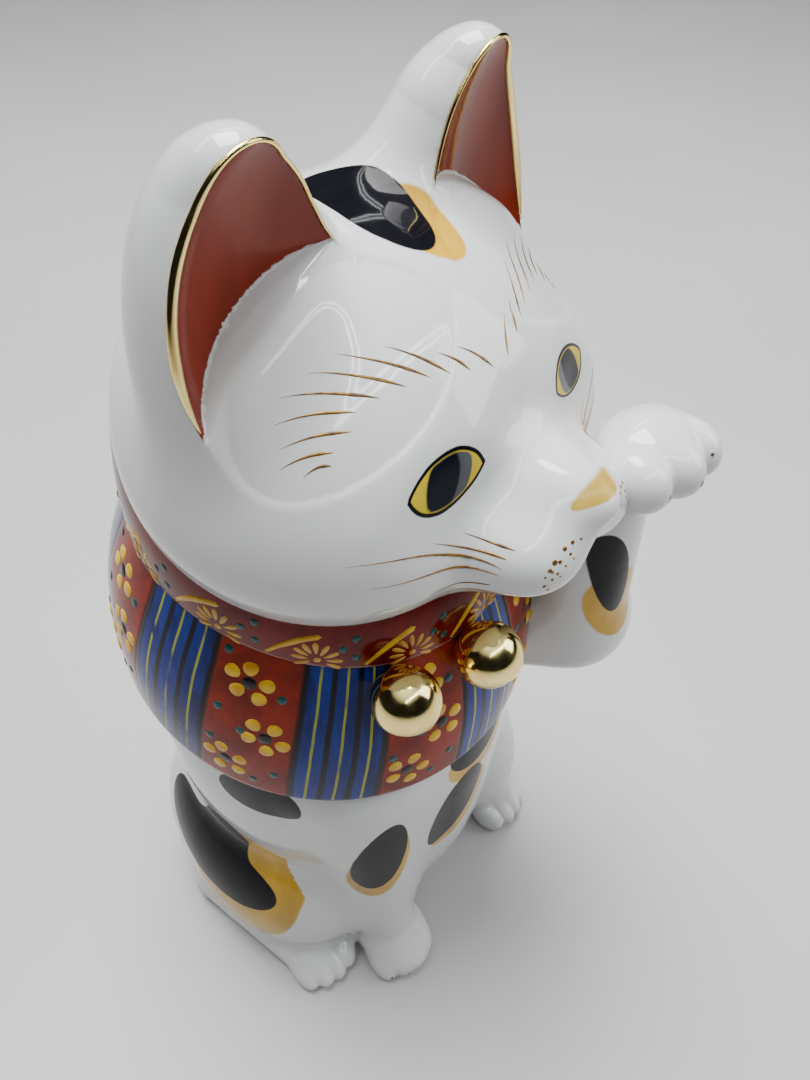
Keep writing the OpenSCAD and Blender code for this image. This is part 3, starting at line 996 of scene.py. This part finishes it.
def collar_relief(line_paint, fan_paint, dot_paint):
    """A rising stroke, a fan of nine petals under it and three dots, over and over."""
    lines, fans, dots = Relief(collar_field), Relief(collar_field), Relief(collar_field)
    for k in range(MOTIFS):
        turn = MOTIF_START + k * 360 / MOTIFS
        knots = [collar_place(turn + along, up) for along, up in ((0, 0.06), (6.5, 0.36), (14, 0.52))]
        lines.stroke(knots, 2.4, 0.3, start=0.6, peak=0.5, end=0.85)
        heart = collar_place(turn + 13, 0.12)
        around = collar_place(turn + 14, 0.12) - heart
        around /= np.linalg.norm(around)
        fans.dome(heart, UPWARD, 2.4, 2.4, 0.3)
        for petal in range(9):
            tilt = radians(-116 + 29 * petal)
            way = cos(tilt) * UPWARD + sin(tilt) * around
            fans.dome(heart + way * 5.0, way, 5.2, 1.7, 0.3, 0.4)
        for offset, up in ((19.5, 0.34), (23, 0.5), (23, 0.2)):
            dots.dome(collar_place(turn + offset, up), UPWARD, 2.9, 2.7, 0.3)
    lines.build("collar_gold_strokes", line_paint, "red_enamel")
    fans.build("collar_fans", fan_paint, "red_enamel")
    dots.build("collar_teal_dots", dot_paint, "red_enamel")


# Each claw is a short stroke down the front of a toe
RAISED_CLAWS = [((48.5, -106.4, 257.2), (49.6, -106.7, 253.8)), ((60.6, -111.2, 257), (60.6, -111.9, 254.6)),
                ((67.4, -106.5, 261.2), (67, -107.3, 260.5))]
STANDING_CLAWS = [((x, y, 8), (x, y - 2, 3)) for x, y in ((-40, -92), (-32, -94), (-24, -94), (-16, -92))]


def claws(material):
    for name, field, marks in (("raised_claws", arm, RAISED_CLAWS), ("standing_claws", body, STANDING_CLAWS)):
        relief = Relief(field)
        for mark in marks:
            relief.stroke(mark, 1.2, 0.15, start=0.8, peak=0.5, end=0.8)
        relief.build(name, material, "gilding")


def bell_shape(p, centre, slot):
    """Two bowls: the upper one is larger and overhangs the lower, which has one long slot and two short ones.
    slot is the way the long one faces, in degrees from the chest. Gives the bell and its slots."""
    q = turned(p - centre, -slot)
    c, s = cos(radians(BELL_TILT)), sin(radians(BELL_TILT))
    q = np.stack([q[:, 0], q[:, 1] * c + q[:, 2] * s, q[:, 2] * c - q[:, 1] * s], 1)
    upper = np.maximum(egg(q, (0, 0, 0), (BELL_R, BELL_R, BELL_R + 0.6)), -0.4 - q[:, 2])
    lower = egg(q, (0, 0, 0), (BELL_R - 0.8, BELL_R - 0.8, BELL_R - 0.2))
    slots = np.min([egg(q, (9.0 * sin(a), -9.0 * cos(a), -2.9), (wide, wide, 0.9))
                    for a, wide in ((0, 2.1), (-0.9, 1), (0.9, 1))], 0)
    return carve(join(upper, lower, 0.3), slots, 0.3), slots


def bell_pieces(material):
    for node, slot in (("left_bell", 70), ("right_bell", -38)):
        centre = middle(node)

        def shape(p):
            return bell_shape(p, centre, slot)[0]
        reach = BELL_R + 3.5
        points, quads = skin(shape, centre - reach, centre + reach, 0.4)
        piece, used = put(node + "_gilded", points, quads)
        # the slots' distances, inside which the gold material paints shade
        note(piece, "slot", bell_shape(used, centre, slot)[1])
        shade_by(piece, shape, used)
        piece.data.materials.append(material)
        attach(piece, "root")
        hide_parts(node)


def ring_pieces():
    for name, outline, paint, slot in (("bib", bib_outline, bib_paint(), "bib_enamel"),
                                       ("collar", collar_outline, collar_paint(), "red_enamel")):
        piece = ring_mesh(name + "_enamelled", outline)
        piece.data.materials.append(paint)
        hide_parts(name)


def patterns():
    yellow = enamel("yellow_enamel", (0.72, 0.46, 0.02), (0.50, 0.24, 0.01))
    black = enamel("black_enamel", (0.008, 0.008, 0.010), (0.02, 0.012, 0.008))
    teal = enamel("teal_enamel", (0.012, 0.085, 0.075), (0.006, 0.04, 0.045))
    tan = enamel("tan_enamel", (0.62, 0.36, 0.06), (0.45, 0.20, 0.03))
    bib_relief(yellow, black, teal)
    collar_relief(yellow, tan, teal)


def bare_slab():
    """The slab under the body shows its CAD form. It is unglazed."""
    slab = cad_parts["base_slab"]
    slab.data.materials.clear()
    slab.data.materials.append(biscuit())


def build():
    plain, gold, lines = glaze("glazed_body", BODY_LAYERS), gilding(), gilt_line()
    head_pieces()
    body_pieces(plain)
    arm_piece(plain)
    ring_pieces()
    patterns()
    ear_gilding(gold)
    face_lines(lines)
    claws(lines)
    bell_pieces(gold)
    bare_slab()


# ---------------------------------------------------------------- camera, floor and light
def look(camera, place, azimuth, pitch, roll):
    """Degrees: azimuth from +Y towards -X, pitch downwards."""
    a, p = radians(azimuth), radians(pitch)
    ahead = Vector((-sin(a) * cos(p), cos(a) * cos(p), -sin(p)))
    camera.location = place
    turn = ahead.to_track_quat("-Z", "Y").to_matrix() @ Matrix.Rotation(radians(roll), 3, "Z")
    camera.rotation_mode = "QUATERNION"
    camera.rotation_quaternion = turn.to_quaternion()


def make_camera():
    data = bpy.data.cameras.new("camera")
    data.sensor_width = 36
    data.lens = 27.03
    data.clip_start, data.clip_end = 0.01, 20
    camera = bpy.data.objects.new("camera", data)
    bpy.context.scene.collection.objects.link(camera)
    look(camera, place=(-0.107, -0.178, 0.403), azimuth=-41.3, pitch=46, roll=-0.3)
    bpy.context.scene.camera = camera


def floor():
    size, height = 3.0, GROUND * MM
    mesh = bpy.data.meshes.new("floor")
    ring = [(x * size, y * size, height) for x, y in ((-1, -1), (1, -1), (1, 1), (-1, 1))]
    mesh.from_pydata(ring, [], [(0, 1, 2, 3)])
    piece = bpy.data.objects.new("floor", mesh)
    bpy.context.scene.collection.objects.link(piece)
    g = Graph("pale_floor")
    colour = g.mix(g.ramp(g.noise(3, 4), 0.3, 0.7), (0.45, 0.437, 0.43), (0.42, 0.41, 0.405))
    mesh.materials.append(g.set(base_color=colour, roughness=0.5))


def area_light(name, place, aim, size, power, colour=(1, 1, 1)):
    data = bpy.data.lights.new(name, "AREA")
    data.shape, data.size, data.size_y = "RECTANGLE", size[0], size[1]
    data.energy, data.color = power, colour
    light = bpy.data.objects.new(name, data)
    bpy.context.scene.collection.objects.link(light)
    light.location = place
    light.rotation_mode = "QUATERNION"
    light.rotation_quaternion = (Vector(aim) - Vector(place)).to_track_quat("-Z", "Y")


def sky():
    """Bright straight above and dark from there down to the horizon."""
    world = bpy.data.worlds.new("studio")
    bpy.context.scene.world = world
    world.use_nodes = True
    tree = world.node_tree
    where = tree.nodes.new("ShaderNodeTexCoord")
    split = tree.nodes.new("ShaderNodeSeparateXYZ")
    ramp = tree.nodes.new("ShaderNodeValToRGB")
    tree.links.new(where.outputs["Generated"], split.inputs[0])
    tree.links.new(split.outputs["Z"], ramp.inputs[0])
    tree.links.new(ramp.outputs[0], tree.nodes["Background"].inputs["Color"])
    dark, bright = ramp.color_ramp.elements
    dark.position, dark.color = 0.66, (0.008, 0.008, 0.009, 1)
    bright.position, bright.color = 1.0, (1.0, 1.02, 1.03, 1)
    tree.nodes["Background"].inputs["Strength"].default_value = 1.5


def lights():
    """A plain studio: two pairs of long tubes overhead, a soft panel above and a weak one to the side."""
    sky()
    for y in (-1.0, 0.9):
        for gap in (-0.05, 0.05):
            area_light("tube", (0.3, y + gap, 1.6), (0.3, y + gap, 0), (2.4, 0.03), 5.5, (0.95, 0.98, 1.0))
    area_light("soft_panel", (0.12, 0.3, 1.75), (0, 0, 0.1), (0.9, 0.9), 64)
    area_light("side_panel", (1.1, -0.8, 0.9), (0, 0, 0.15), (0.8, 0.8), 9)


make_camera()
floor()
lights()
build()
